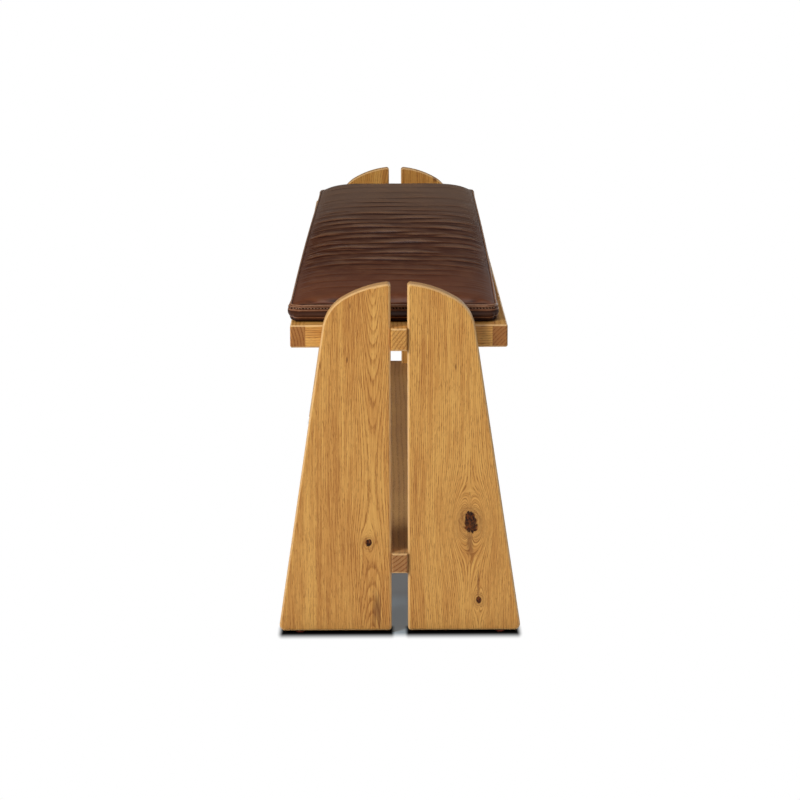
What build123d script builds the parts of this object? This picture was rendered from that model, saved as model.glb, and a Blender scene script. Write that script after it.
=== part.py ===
"""A backless oak bench on four leaning end slabs, with a through-tongued seat frame, a lower
stretcher board, four floor glides and a loose leather box cushion.

The frame: X runs along the bench, Y from front (-Y) to back, Z up. The origin is on the floor
under the middle of the bench. Every size is in millimetres.
"""
from build123d import *
from math import atan2, cos, degrees, radians, sqrt, tan
import os

# End slabs, in pairs with a gap between them
BENCH_LENGTH = 1500.0
SLAB_THICKNESS = 26.0
END_FOOT_WIDTH = 357.0
SIDE_LEAN = 8.6
SLAB_GAP = 24.0
ARCH_RISE_OVER_SEAT = 65.0
CROWN_RADIUS = 160.0
HAUNCH_RADIUS = 61.0
SLAB_OUTER_ROUND = 4.0
SLAB_INNER_CHAMFER = 2.0
SLAB_INNER_CORNER = 5.0
SLAB_FOOT_CORNER = 9.0

# Floor glides and their nails
GLIDE_HEIGHT = 4.0
GLIDE_DIAMETER = 16.0
GLIDE_RIM_CHAMFER = 1.5
GLIDE_FROM_FOOT_CORNER = 31.0
GLIDE_SIDES = 24
NAIL_DIAMETER = 2.2
NAIL_FROM_FLOOR = 2.0
NAIL_LENGTH = 16.0

# Seat frame
SEAT_HEIGHT = 456.0
SEAT_WIDTH = 315.0
RAIL_HEIGHT = 33.0
SIDE_RAIL_WIDTH = 22.0
END_RAIL_WIDTH = 45.0
RAIL_CHAMFER = 2.0
TONGUE_PROJECTION = 5.0
TONGUE_ROUND = 3.0

# Seat slats and the ledgers that carry them
SLAT_COUNT = 11
SLAT_WIDTH = 75.0
SLAT_THICKNESS = 12.0
SLAT_CHAMFER = 1.5
LEDGER_WIDTH = 18.0
LEDGER_HEIGHT = 18.0
SCREWS_PER_LEDGER = 4

# Lower stretcher board
STRETCHER_HEIGHT = 92.5
STRETCHER_WIDTH = 90.0
STRETCHER_THICKNESS = 30.0
STRETCHER_CHAMFER = 2.0

# Dowels
DOWEL_DIAMETER = 8.0
DOWEL_CHAMFER = 1.0
DOWEL_DEPTH_IN_SIDE_RAIL = 14.0
DOWEL_DEPTH_IN_END_RAIL = 22.0
DOWEL_DEPTH_IN_SLAB = 16.0
DOWEL_DEPTH_IN_STRETCHER = 24.0

# End bolts and threaded inserts
BOLT_DIAMETER = 6.0
BOLT_HOLE_CLEARANCE = 0.5
BOLT_HEAD_WIDTH = 10.0
BOLT_HEAD_HEIGHT = 4.0
BOLT_ENGAGEMENT = 11.0
WASHER_DIAMETER = 18.0
WASHER_THICKNESS = 1.6
INSERT_DIAMETER = 10.0
INSERT_LENGTH = 13.0
INSERT_BORE_CLEARANCE = 0.1

# Countersunk wood screws
SCREW_DIAMETER = 4.0
SCREW_HEAD_DIAMETER = 8.0
SCREW_HEAD_HEIGHT = 2.6
SCREW_POINT_LENGTH = 4.0
SCREW_POINT_DIAMETER = 1.0
SLAT_SCREW_LENGTH = 25.0
LEDGER_SCREW_LENGTH = 30.0

# Loose cushion
CUSHION_END_CLEARANCE = 31.0
CUSHION_SIDE_CLEARANCE = 3.5
CUSHION_EDGE_HEIGHT = 21.0
CUSHION_CROWN = 15.0
CUSHION_CORNER_RADIUS = 20.0
CUSHION_SIDE_SWELL = 2.5
CUSHION_END_DRAW_IN = 1.5
CUSHION_FOOT_INSET = 9.0
CUSHION_REST_GAP = 0.3
CUSHION_OFFSET = -2.0
CUSHION_YAW = -0.47
LEATHER_THICKNESS = 1.5
ZIP_LENGTH = 210.0
ZIP_WIDTH = 8.0
ZIP_DEPTH = 6.0

# Small round fasteners are kept as bars with few sides
FASTENER_SIDES = 6

# One overrun serves every cut
OVERRUN = 1.0

# Shares: where bolts, dowels and curves fall along the size that they follow
BOLT_PLACE_SHARES = (0.26, 0.76)
DOWEL_HEIGHT_SHARES = (0.27, 0.73)
STRETCHER_DOWEL_SHARES = (0.28, 0.72)
DIAGONAL_SHARE = sqrt(0.5)
BOXING_INSET_SHARES = (1.0, 0.36, 0.0)
BOXING_HEIGHT_SHARES = (0.0, 0.55, 1.0)
CROWN_INSET_SHARES = (0.0, 0.07, 0.25, 0.65)
CROWN_STEEPNESS = 4.6

# Places worked out from the sizes above
END_HEIGHT = SEAT_HEIGHT + ARCH_RISE_OVER_SEAT
SLAB_INNER_X = BENCH_LENGTH / 2 - SLAB_THICKNESS
TONGUE_END_X = BENCH_LENGTH / 2 + TONGUE_PROJECTION
END_RAIL_INNER_X = SLAB_INNER_X - END_RAIL_WIDTH
SIDE_RAIL_INNER_Y = SEAT_WIDTH / 2 - SIDE_RAIL_WIDTH
CENTRE_RAIL_Y = SLAB_GAP / 2
RAIL_BOTTOM_Z = SEAT_HEIGHT - RAIL_HEIGHT
SLAT_BOTTOM_Z = SEAT_HEIGHT - SLAT_THICKNESS
STRETCHER_TOP_Z = STRETCHER_HEIGHT + STRETCHER_THICKNESS
LEAN = tan(radians(SIDE_LEAN))
GLIDE_Y = END_FOOT_WIDTH / 2 - GLIDE_FROM_FOOT_CORNER
LEDGER_INNER_Y = SIDE_RAIL_INNER_Y - LEDGER_WIDTH
CUSHION_LENGTH = 2 * (SLAB_INNER_X - CUSHION_END_CLEARANCE)
CUSHION_WIDTH = SEAT_WIDTH - 2 * CUSHION_SIDE_CLEARANCE
CUSHION_BOTTOM_Z = SEAT_HEIGHT + CUSHION_REST_GAP
CUSHION_SEAM_Z = CUSHION_BOTTOM_Z + CUSHION_EDGE_HEIGHT

ENDS = {"left": -1, "right": 1}
SIDES = {"front": -1, "back": 1}


def side_half_width(height):
    """Half the width over a pair of slabs at a height, on the straight leaning part."""
    return END_FOOT_WIDTH / 2 - LEAN * (height - GLIDE_HEIGHT)


def block(x_range, y_range, z_range):
    """A box between two places along each axis."""
    size = [high - low for low, high in (x_range, y_range, z_range)]
    middle = [(high + low) / 2 for low, high in (x_range, y_range, z_range)]
    return Pos(*middle) * Box(*size)


def turned(start, direction, steps):
    """A pin with flat sides, from a start point along a direction. Each step is a distance along
    it and its radius there."""
    flat_share = cos(radians(180 / FASTENER_SIDES))
    pin = Part()
    for (low, low_radius), (high, high_radius) in zip(steps, steps[1:]):
        length = high - low
        taper = degrees(atan2((low_radius - high_radius) * flat_share, length))
        section = RegularPolygon(low_radius, FASTENER_SIDES)
        pin += Pos(0, 0, low) * extrude(section, amount=length, taper=taper)
    return Plane(origin=start, z_dir=direction) * pin


def rod(start, direction, length, radius):
    """A plain bar of one radius."""
    return turned(start, direction, [(0, radius), (length, radius)])


def dowel(start, direction, length):
    """A wooden dowel with chamfered ends."""
    radius = DOWEL_DIAMETER / 2
    end_radius = radius - DOWEL_CHAMFER
    steps = [
        (0, end_radius),
        (DOWEL_CHAMFER, radius),
        (length - DOWEL_CHAMFER, radius),
        (length, end_radius),
    ]
    return turned(start, direction, steps)


def wood_screw(start, direction, length):
    """A countersunk wood screw whose head is flush with the start point."""
    steps = [
        (0, SCREW_HEAD_DIAMETER / 2),
        (SCREW_HEAD_HEIGHT, SCREW_DIAMETER / 2),
        (length - SCREW_POINT_LENGTH, SCREW_DIAMETER / 2),
        (length, SCREW_POINT_DIAMETER / 2),
    ]
    return turned(start, direction, steps)


def write(name, shape):
    """Write one sub-part, under the name of its node."""
    export_step(shape, f"parts/{name}.step")


# Slab outline


def slab_outline():
    """The outline of a back slab, across Y and up Z: an upright inner edge, a leaning outer edge
    and a flat foot. The top is one half of a three-centred arch: a wide crown arc struck from the
    middle of the bench, and a tighter haunch arc that runs on smoothly into the leaning edge."""
    crown_centre_z = END_HEIGHT - CROWN_RADIUS
    gap_edge = SLAB_GAP / 2
    face = make_face(
        Polyline(
            (gap_edge, GLIDE_HEIGHT),
            (END_FOOT_WIDTH / 2, GLIDE_HEIGHT),
            (side_half_width(END_HEIGHT), END_HEIGHT),
            (gap_edge, END_HEIGHT),
            close=True,
        )
    )
    waste = Pos(0, crown_centre_z) * Rectangle(
        2 * CROWN_RADIUS, CROWN_RADIUS + OVERRUN, align=(Align.CENTER, Align.MIN)
    )
    waste -= Pos(0, crown_centre_z) * Circle(CROWN_RADIUS)
    face -= waste
    inner_corners = face.vertices().sort_by(Axis.X)[:2]
    face = fillet(inner_corners, SLAB_INNER_CORNER)
    foot_corner = face.vertices().sort_by(Axis.X)[-1]
    face = fillet(foot_corner, SLAB_FOOT_CORNER)
    haunch = face.vertices().sort_by_distance((side_half_width(END_HEIGHT), END_HEIGHT))[0]
    return fillet(haunch, HAUNCH_RADIUS)


def bolt_places():
    """Where the end bolts cross the joint of an end rail and a slab: (y, z) on the back side. The
    joint ends at the slab's leaning edge, and the bolt heads stay clear of the ledger."""
    z = RAIL_BOTTOM_Z + RAIL_HEIGHT / 2
    joint_width = min(side_half_width(z), LEDGER_INNER_Y) - CENTRE_RAIL_Y
    return [(CENTRE_RAIL_Y + share * joint_width, z) for share in BOLT_PLACE_SHARES]


def stretcher_dowel_places():
    """Where the dowels cross the joint of a stretcher shoulder and a slab: (y, z)."""
    shoulder = STRETCHER_WIDTH / 2 - CENTRE_RAIL_Y
    z = STRETCHER_HEIGHT + STRETCHER_THICKNESS / 2
    return [(CENTRE_RAIL_Y + share * shoulder, z) for share in STRETCHER_DOWEL_SHARES]


def glide_nail(place):
    """The nail of a glide, from inside the glide up into the slab."""
    return Pos(*place) * rod((0, 0, NAIL_FROM_FLOOR), (0, 0, 1), NAIL_LENGTH, NAIL_DIAMETER / 2)


def end_slabs():
    """Four slabs, round along the outer rim and eased along the inner one, with blind holes for
    the inserts, the stretcher dowels and the glide nails."""
    body = extrude(Plane.YZ * slab_outline(), amount=SLAB_THICKNESS)
    body = fillet(body.faces().sort_by(Axis.X)[-1].edges(), SLAB_OUTER_ROUND)
    body = chamfer(body.faces().sort_by(Axis.X)[0].edges(), SLAB_INNER_CHAMFER)
    for y, z in bolt_places():
        body -= rod((-OVERRUN, y, z), (1, 0, 0), OVERRUN + INSERT_LENGTH, INSERT_DIAMETER / 2)
    for y, z in stretcher_dowel_places():
        body -= rod((-OVERRUN, y, z), (1, 0, 0), OVERRUN + DOWEL_DEPTH_IN_SLAB, DOWEL_DIAMETER / 2)
    body -= glide_nail((SLAB_THICKNESS / 2, GLIDE_Y, 0))
    right_back = Pos(SLAB_INNER_X, 0, 0) * body
    right_front = mirror(right_back, Plane.XZ)
    write("end_slab_right_back", right_back)
    write("end_slab_right_front", right_front)
    write("end_slab_left_back", mirror(right_back, Plane.YZ))
    write("end_slab_left_front", mirror(right_front, Plane.YZ))


# Seat frame


def corner_dowel_starts():
    """The outer ends of the dowels that hold the back right corner of the seat frame."""
    x = SLAB_INNER_X - END_RAIL_WIDTH / 2
    y = SIDE_RAIL_INNER_Y + DOWEL_DEPTH_IN_SIDE_RAIL
    return [(x, y, RAIL_BOTTOM_Z + share * RAIL_HEIGHT) for share in DOWEL_HEIGHT_SHARES]


def centre_dowel_starts():
    """The back ends of the dowels through the centre rail, at the right end."""
    x = SLAB_INNER_X - END_RAIL_WIDTH / 2
    y = CENTRE_RAIL_Y + DOWEL_DEPTH_IN_END_RAIL
    return [(x, y, RAIL_BOTTOM_Z + share * RAIL_HEIGHT) for share in DOWEL_HEIGHT_SHARES]


def dowel_group(starts, length):
    """Dowels that run towards the front from each start."""
    return [dowel(start, (0, -1, 0), length) for start in starts]


CORNER_DOWEL_LENGTH = DOWEL_DEPTH_IN_SIDE_RAIL + DOWEL_DEPTH_IN_END_RAIL
CENTRE_DOWEL_LENGTH = SLAB_GAP + 2 * DOWEL_DEPTH_IN_END_RAIL


def frame_dowels():
    """Corner dowels at all four corners, and the long ones through the centre rail."""
    corner = dowel_group(corner_dowel_starts(), CORNER_DOWEL_LENGTH)
    corner += [mirror(piece, Plane.XZ) for piece in corner]
    corner += [mirror(piece, Plane.YZ) for piece in corner]
    centre = dowel_group(centre_dowel_starts(), CENTRE_DOWEL_LENGTH)
    centre += [mirror(piece, Plane.YZ) for piece in centre]
    write("corner_dowels", Compound(corner))
    write("centre_dowels", Compound(centre))
    return corner, centre


def side_rails(corner_dowels, ledger_screws):
    """Front and back rails. Their ends show as end grain at the corners of the frame."""
    rail = block(
        (-SLAB_INNER_X, SLAB_INNER_X),
        (SIDE_RAIL_INNER_Y, SEAT_WIDTH / 2),
        (RAIL_BOTTOM_Z, SEAT_HEIGHT),
    )
    inner_rim = rail.faces().sort_by(Axis.Y)[0].edges()
    rail = chamfer(rail.edges() - inner_rim, RAIL_CHAMFER)
    back = rail - corner_dowels - ledger_screws
    write("seat_side_rail_back", back)
    write("seat_side_rail_front", mirror(back, Plane.XZ))


def end_rails(corner_dowels, centre_dowels):
    """Four short rails: at each end one between the centre rail and either side rail."""
    rail = block(
        (END_RAIL_INNER_X, SLAB_INNER_X),
        (CENTRE_RAIL_Y, SIDE_RAIL_INNER_Y),
        (RAIL_BOTTOM_Z, SEAT_HEIGHT),
    )
    outer_long_edges = rail.faces().sort_by(Axis.X)[-1].edges().filter_by(Axis.Y)
    rail = chamfer(outer_long_edges, RAIL_CHAMFER)
    hole_radius = (BOLT_DIAMETER + BOLT_HOLE_CLEARANCE) / 2
    for y, z in bolt_places():
        start = (END_RAIL_INNER_X - OVERRUN, y, z)
        rail -= rod(start, (1, 0, 0), END_RAIL_WIDTH + 2 * OVERRUN, hole_radius)
    right_back = rail - corner_dowels - centre_dowels
    right_front = mirror(right_back, Plane.XZ)
    write("seat_end_rail_right_back", right_back)
    write("seat_end_rail_right_front", right_front)
    write("seat_end_rail_left_back", mirror(right_back, Plane.YZ))
    write("seat_end_rail_left_front", mirror(right_front, Plane.YZ))


def round_tongue_ends(piece):
    """Ease the arrises of the two outermost end faces of a through-tongued piece."""
    rims = piece.faces().sort_by(Axis.X)[0].edges() + piece.faces().sort_by(Axis.X)[-1].edges()
    return fillet(rims, TONGUE_ROUND)


def centre_rail(centre_dowels):
    """The middle rail. Its full height passes between the slabs at either end, and between the
    end rails its top is lowered to carry the slats."""
    rail = block(
        (-TONGUE_END_X, TONGUE_END_X),
        (-CENTRE_RAIL_Y, CENTRE_RAIL_Y),
        (RAIL_BOTTOM_Z, SEAT_HEIGHT),
    )
    rail = round_tongue_ends(rail)
    rail -= block(
        (-END_RAIL_INNER_X, END_RAIL_INNER_X),
        (-CENTRE_RAIL_Y - OVERRUN, CENTRE_RAIL_Y + OVERRUN),
        (SLAT_BOTTOM_Z, SEAT_HEIGHT + OVERRUN),
    )
    write("seat_centre_rail", rail - centre_dowels)


# Slats, ledgers and their screws

SLAT_BAY = (2 * END_RAIL_INNER_X - SLAT_COUNT * SLAT_WIDTH) / (SLAT_COUNT + 1)
SLAT_PITCH = SLAT_WIDTH + SLAT_BAY
LEDGER_MIDDLE_Y = SIDE_RAIL_INNER_Y - LEDGER_WIDTH / 2


def slat_middles():
    """The middle of each slat along the bench."""
    first = -(SLAT_COUNT - 1) / 2 * SLAT_PITCH
    return [first + index * SLAT_PITCH for index in range(SLAT_COUNT)]


def bay_middles():
    """The middles of the bays between slats that take a ledger screw, spread end to end."""
    bays = [middle + SLAT_PITCH / 2 for middle in slat_middles()[:-1]]
    step = (len(bays) - 1) / (SCREWS_PER_LEDGER - 1)
    return [bays[round(index * step)] for index in range(SCREWS_PER_LEDGER)]


def slats():
    """Cross slats, flush with the frame, screwed down at both ends."""
    all_screws = []
    for number, middle in enumerate(slat_middles(), start=1):
        slat = block(
            (middle - SLAT_WIDTH / 2, middle + SLAT_WIDTH / 2),
            (-SIDE_RAIL_INNER_Y, SIDE_RAIL_INNER_Y),
            (SLAT_BOTTOM_Z, SEAT_HEIGHT),
        )
        slat = chamfer(slat.faces().sort_by(Axis.Z)[-1].edges().filter_by(Axis.Y), SLAT_CHAMFER)
        screws = []
        for side in SIDES.values():
            start = (middle, side * LEDGER_MIDDLE_Y, SEAT_HEIGHT)
            screws.append(wood_screw(start, (0, 0, -1), SLAT_SCREW_LENGTH))
        write(f"seat_slat_{number:02d}", slat - screws)
        all_screws += screws
    write("slat_screws", Compound(all_screws))
    return all_screws


def ledger_screw_group():
    """Screws through the back ledger into the back rail."""
    z = SLAT_BOTTOM_Z - LEDGER_HEIGHT / 2
    return [
        wood_screw((x, LEDGER_INNER_Y, z), (0, 1, 0), LEDGER_SCREW_LENGTH) for x in bay_middles()
    ]


def ledgers(slat_screws, ledger_screws):
    """Strips under the slats, along the inner faces of the side rails."""
    ledger = block(
        (-END_RAIL_INNER_X, END_RAIL_INNER_X),
        (LEDGER_INNER_Y, SIDE_RAIL_INNER_Y),
        (SLAT_BOTTOM_Z - LEDGER_HEIGHT, SLAT_BOTTOM_Z),
    )
    back = ledger - slat_screws - ledger_screws
    write("slat_ledger_back", back)
    write("slat_ledger_front", mirror(back, Plane.XZ))
    front_screws = [mirror(screw, Plane.XZ) for screw in ledger_screws]
    write("ledger_screws", Compound(ledger_screws + front_screws))


# Bolts and inserts


def end_bolt():
    """A hexagon-headed bolt along +X, with the underside of its head at the origin."""
    hexagon = RegularPolygon(BOLT_HEAD_WIDTH / 2, 6, major_radius=False)
    head = Plane.YZ * extrude(hexagon, amount=-BOLT_HEAD_HEIGHT)
    length = WASHER_THICKNESS + END_RAIL_WIDTH + BOLT_ENGAGEMENT
    return head + rod((0, 0, 0), (1, 0, 0), length, BOLT_DIAMETER / 2)


def ring(start, length, outer_diameter, inner_diameter):
    """A washer or sleeve along +X."""
    outer = rod(start, (1, 0, 0), length, outer_diameter / 2)
    return outer - rod(start, (1, 0, 0), length, inner_diameter / 2)


def bolts_and_inserts():
    """Two bolts with washers for each slab, and the threaded inserts that they screw into."""
    bolt = end_bolt()
    head_x = END_RAIL_INNER_X - WASHER_THICKNESS
    hole_diameter = BOLT_DIAMETER + BOLT_HOLE_CLEARANCE
    bore_diameter = BOLT_DIAMETER + INSERT_BORE_CLEARANCE
    bolts = []
    washers = []
    inserts = []
    for y, z in bolt_places():
        bolts.append(Pos(head_x, y, z) * bolt)
        washers.append(ring((head_x, y, z), WASHER_THICKNESS, WASHER_DIAMETER, hole_diameter))
        inserts.append(ring((SLAB_INNER_X, y, z), INSERT_LENGTH, INSERT_DIAMETER, bore_diameter))
    for name, group in (
        ("end_bolts", bolts),
        ("bolt_washers", washers),
        ("threaded_inserts", inserts),
    ):
        group += [mirror(piece, Plane.XZ) for piece in group]
        group += [mirror(piece, Plane.YZ) for piece in group]
        write(name, Compound(group))


# Lower stretcher


def lower_stretcher():
    """A board between the ends, narrowed to tongues that pass through the gaps, and its dowels."""
    board = block(
        (-SLAB_INNER_X, SLAB_INNER_X),
        (-STRETCHER_WIDTH / 2, STRETCHER_WIDTH / 2),
        (STRETCHER_HEIGHT, STRETCHER_TOP_Z),
    )
    board = chamfer(board.edges().filter_by(Axis.X), STRETCHER_CHAMFER)
    tongue = block(
        (-TONGUE_END_X, TONGUE_END_X),
        (-CENTRE_RAIL_Y, CENTRE_RAIL_Y),
        (STRETCHER_HEIGHT, STRETCHER_TOP_Z),
    )
    dowels = []
    length = DOWEL_DEPTH_IN_STRETCHER + DOWEL_DEPTH_IN_SLAB
    for y, z in stretcher_dowel_places():
        start = (SLAB_INNER_X - DOWEL_DEPTH_IN_STRETCHER, y, z)
        dowels.append(dowel(start, (1, 0, 0), length))
    dowels += [mirror(piece, Plane.XZ) for piece in dowels]
    dowels += [mirror(piece, Plane.YZ) for piece in dowels]
    write("stretcher_dowels", Compound(dowels))
    write("lower_stretcher", board + round_tongue_ends(tongue) - dowels)


# Floor glides


def floor_glides():
    """A button glide under the outer part of each slab, held by a nail through its middle."""
    glide = extrude(RegularPolygon(GLIDE_DIAMETER / 2, GLIDE_SIDES), amount=GLIDE_HEIGHT)
    glide = chamfer(glide.faces().sort_by(Axis.Z)[0].edges(), GLIDE_RIM_CHAMFER)
    nails = []
    for end_name, end in ENDS.items():
        for side_name, side in SIDES.items():
            place = (end * (SLAB_INNER_X + SLAB_THICKNESS / 2), side * GLIDE_Y, 0)
            nail = glide_nail(place)
            write(f"floor_glide_{end_name}_{side_name}", Pos(*place) * glide - nail)
            nails.append(nail)
    write("glide_nails", Compound(nails))


# Loose cushion


def cushion_ring(inset, height):
    """A level section of the cushion: a rectangle with round corners, whose long sides swell and
    whose ends are drawn in between the corners, made of eight arcs."""
    half_length = CUSHION_LENGTH / 2 - inset
    half_width = CUSHION_WIDTH / 2 - inset
    radius = CUSHION_CORNER_RADIUS
    straight_x = half_length - radius
    straight_y = half_width - radius
    diagonal = radius * DIAGONAL_SHARE
    corners = [(1, 1), (-1, 1), (-1, -1), (1, -1)]
    ring = Curve()
    for (sign_x, sign_y), (next_x, next_y) in zip(corners, corners[1:] + corners[:1]):
        on_end = (sign_x * half_length, sign_y * straight_y)
        on_side = (sign_x * straight_x, sign_y * half_width)
        middle = (sign_x * (straight_x + diagonal), sign_y * (straight_y + diagonal))
        if sign_x != next_x:
            corner_start, corner_end = on_end, on_side
            side_middle = (0, sign_y * (half_width + CUSHION_SIDE_SWELL))
            next_corner = (next_x * straight_x, next_y * half_width)
        else:
            corner_start, corner_end = on_side, on_end
            side_middle = (sign_x * (half_length - CUSHION_END_DRAW_IN), 0)
            next_corner = (next_x * half_length, next_y * straight_y)
        ring += ThreePointArc(corner_start, middle, corner_end)
        ring += ThreePointArc(corner_end, side_middle, next_corner)
    return Pos(0, 0, height) * make_face(ring)


def crown_solid(inset, lowered):
    """The crowned top of the cushion above its upper seam. It rises steeply at the edge and
    flattens towards the middle."""
    reach = CUSHION_WIDTH / 2
    sections = []
    for share in CROWN_INSET_SHARES:
        rise = (CUSHION_CROWN - lowered) * (1 - (1 - share) ** CROWN_STEEPNESS)
        sections.append(cushion_ring(inset + share * (reach - inset), CUSHION_SEAM_Z + rise))
    return loft(sections, ruled=True)


def boxing_solid():
    """The edge of the cushion below its upper seam, leaning in towards its foot."""
    sections = []
    for inset_share, height_share in zip(BOXING_INSET_SHARES, BOXING_HEIGHT_SHARES):
        height = CUSHION_BOTTOM_Z + height_share * CUSHION_EDGE_HEIGHT
        sections.append(cushion_ring(inset_share * CUSHION_FOOT_INSET, height))
    return loft(sections, ruled=True)


def cushion():
    """Top panel, filling with its boxing strip, bottom panel, and the zip in one end."""
    place = Pos(0, CUSHION_OFFSET, 0) * Rot(0, 0, CUSHION_YAW)
    filling_top = crown_solid(LEATHER_THICKNESS, LEATHER_THICKNESS)
    top_panel = crown_solid(0, 0) - filling_top
    edge = boxing_solid()
    panel_plane = Plane.XY.offset(CUSHION_BOTTOM_Z + LEATHER_THICKNESS)
    bottom_panel = split(edge, panel_plane, keep=Keep.BOTTOM)
    core = split(edge, panel_plane, keep=Keep.TOP) + filling_top
    zip_middle_z = CUSHION_BOTTOM_Z + CUSHION_EDGE_HEIGHT / 2
    zip_room = block(
        (-CUSHION_LENGTH / 2 - OVERRUN, ZIP_DEPTH - CUSHION_LENGTH / 2),
        (-ZIP_LENGTH / 2, ZIP_LENGTH / 2),
        (zip_middle_z - ZIP_WIDTH / 2, zip_middle_z + ZIP_WIDTH / 2),
    )
    write("cushion_top_panel", place * top_panel)
    write("cushion_core", place * (core - zip_room))
    write("cushion_bottom_panel", place * bottom_panel)
    write("cushion_zip", place * (core & zip_room))


os.makedirs("parts", exist_ok=True)
corner_dowel_solids, centre_dowel_solids = frame_dowels()
slat_screw_solids = slats()
ledger_screw_solids = ledger_screw_group()
side_rails(corner_dowel_solids, ledger_screw_solids)
end_rails(corner_dowel_solids, centre_dowel_solids)
centre_rail(centre_dowel_solids)
ledgers(slat_screw_solids, ledger_screw_solids)
bolts_and_inserts()
lower_stretcher()
end_slabs()
floor_glides()
cushion()
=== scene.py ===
"""The looks of a backless oak bench with a loose leather cushion: finishes for every wooden and
metal piece, and a modelled cushion with folds, seams and stitches.

Lengths are in metres. X runs along the bench, Y from front to back, Z up. The camera looks along
-X at the right-hand end.
"""
import random
from math import cos, exp, hypot, pi, radians, sin, sqrt

import bmesh
import bpy
import numpy as np
from mathutils import Matrix, Vector


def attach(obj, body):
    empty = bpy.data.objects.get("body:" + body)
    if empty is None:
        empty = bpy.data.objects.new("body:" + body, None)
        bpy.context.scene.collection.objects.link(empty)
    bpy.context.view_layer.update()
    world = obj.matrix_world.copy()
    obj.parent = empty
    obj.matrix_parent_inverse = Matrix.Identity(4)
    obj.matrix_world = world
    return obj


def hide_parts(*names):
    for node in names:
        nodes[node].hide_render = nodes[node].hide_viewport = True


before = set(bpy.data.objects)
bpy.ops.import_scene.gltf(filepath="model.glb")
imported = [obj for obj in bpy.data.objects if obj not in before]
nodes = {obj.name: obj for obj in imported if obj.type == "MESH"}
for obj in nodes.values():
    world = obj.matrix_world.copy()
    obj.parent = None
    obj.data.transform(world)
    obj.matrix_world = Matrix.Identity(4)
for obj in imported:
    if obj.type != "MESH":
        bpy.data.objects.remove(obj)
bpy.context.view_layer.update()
mm = 0.001

# Node trees


def srgb(red, green, blue):
    """A colour written as 0-255 values, as linear RGBA."""
    linear = []
    for channel in (red, green, blue):
        share = channel / 255
        linear.append(share / 12.92 if share <= 0.04045 else ((share + 0.055) / 1.055) ** 2.4)
    return (*linear, 1.0)


class Graph:
    """A node tree of a new material, or of the world. Its methods add nodes and give the output
    of the last one."""

    def __init__(self, name, tree=None):
        if tree is None:
            self.material = bpy.data.materials.new(name)
            self.material.use_nodes = True
            tree = self.material.node_tree
        self.tree = tree
        self.tree.nodes.clear()

    def add(self, kind, inputs=(), output=0, **settings):
        node = self.tree.nodes.new(kind)
        for key, value in settings.items():
            setattr(node, key, value)
        for key, value in dict(inputs).items():
            if isinstance(value, bpy.types.NodeSocket):
                self.tree.links.new(value, node.inputs[key])
            else:
                node.inputs[key].default_value = value
        return node.outputs[output] if node.outputs else node

    def math(self, operation, *values, clamp=False):
        return self.add("ShaderNodeMath", enumerate(values), operation=operation, use_clamp=clamp)

    def total(self, first, *others):
        for other in others:
            first = self.math("ADD", first, other)
        return first

    def times(self, first, *others):
        for other in others:
            first = self.math("MULTIPLY", first, other)
        return first

    def centred(self, value, middle=0.5):
        """A value less its middle."""
        return self.math("SUBTRACT", value, middle)

    def distance(self, aside, above):
        """The length of a step with these two parts."""
        return self.math("SQRT", self.total(self.times(aside, aside), self.times(above, above)))

    def vector(self, operation, *values):
        return self.add("ShaderNodeVectorMath", enumerate(values), operation=operation)

    def position(self, output="Object"):
        return self.add("ShaderNodeTexCoord", output=output)

    def split(self, vector):
        node = self.tree.nodes.new("ShaderNodeSeparateXYZ")
        self.tree.links.new(vector, node.inputs[0])
        return node.outputs

    def join(self, x, y, z):
        return self.add("ShaderNodeCombineXYZ", enumerate((x, y, z)))

    def noise(self, vector, stretch, detail, roughness=0.5):
        scaled = self.vector("MULTIPLY", vector, stretch)
        inputs = {"Vector": scaled, "Scale": 1.0, "Detail": detail, "Roughness": roughness}
        return self.add("ShaderNodeTexNoise", inputs)

    def cells(self, vector, stretch):
        scaled = self.vector("MULTIPLY", vector, stretch)
        return self.add("ShaderNodeTexVoronoi", {"Vector": scaled, "Scale": 1.0})

    def ease(self, value, low, high, to_low=0.0, to_high=1.0):
        """A smooth change from to_low to to_high as a value goes from low to high."""
        inputs = dict(enumerate((value, low, high, to_low, to_high)))
        return self.add("ShaderNodeMapRange", inputs, interpolation_type="SMOOTHSTEP")

    def mix(self, share, first, second):
        return self.add("ShaderNodeMix", {0: share, 6: first, 7: second}, 2, data_type="RGBA")

    def ramp(self, value, stops):
        node = self.tree.nodes.new("ShaderNodeValToRGB")
        elements = node.color_ramp.elements
        while len(elements) < len(stops):
            elements.new(0.5)
        for element, (place, colour) in zip(elements, stops):
            element.position = place
            element.color = colour
        self.tree.links.new(value, node.inputs[0])
        return node.outputs[0]

    def bump(self, height, depth, strength):
        inputs = {"Height": height, "Distance": depth, "Strength": strength}
        return self.add("ShaderNodeBump", inputs)

    def surface(self, **inputs):
        """Ends the tree with a surface shader whose sockets are named with underscores."""
        named = {key.replace("_", " "): value for key, value in inputs.items()}
        shader = self.add("ShaderNodeBsdfPrincipled", named)
        self.add("ShaderNodeOutputMaterial", {"Surface": shader})
        return self.material


# Oak

PALE_OAK = srgb(214, 162, 84)
OAK = srgb(192, 134, 63)
DEEP_OAK = srgb(158, 100, 42)
PORE_BROWN = srgb(124, 68, 27)
END_GRAIN = srgb(146, 94, 46)
# Greyer oak for the painted shade on the stretcher under the seat
SHADE_GREY_OAK = srgb(154, 138, 112)
# Colour of the painted highlight on the rounded edges
EDGE_HIGHLIGHT_OAK = srgb(236, 197, 140)
KNOT_CORE = srgb(30, 13, 5)
KNOT_RING = srgb(112, 64, 24)
KNOT_HEART = srgb(104, 52, 16)

# For each grain direction, the axes across the board, through it and along it
GRAIN_AXES = {"X": (1, 2, 0), "Y": (0, 2, 1), "Z": (1, 0, 2)}

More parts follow.
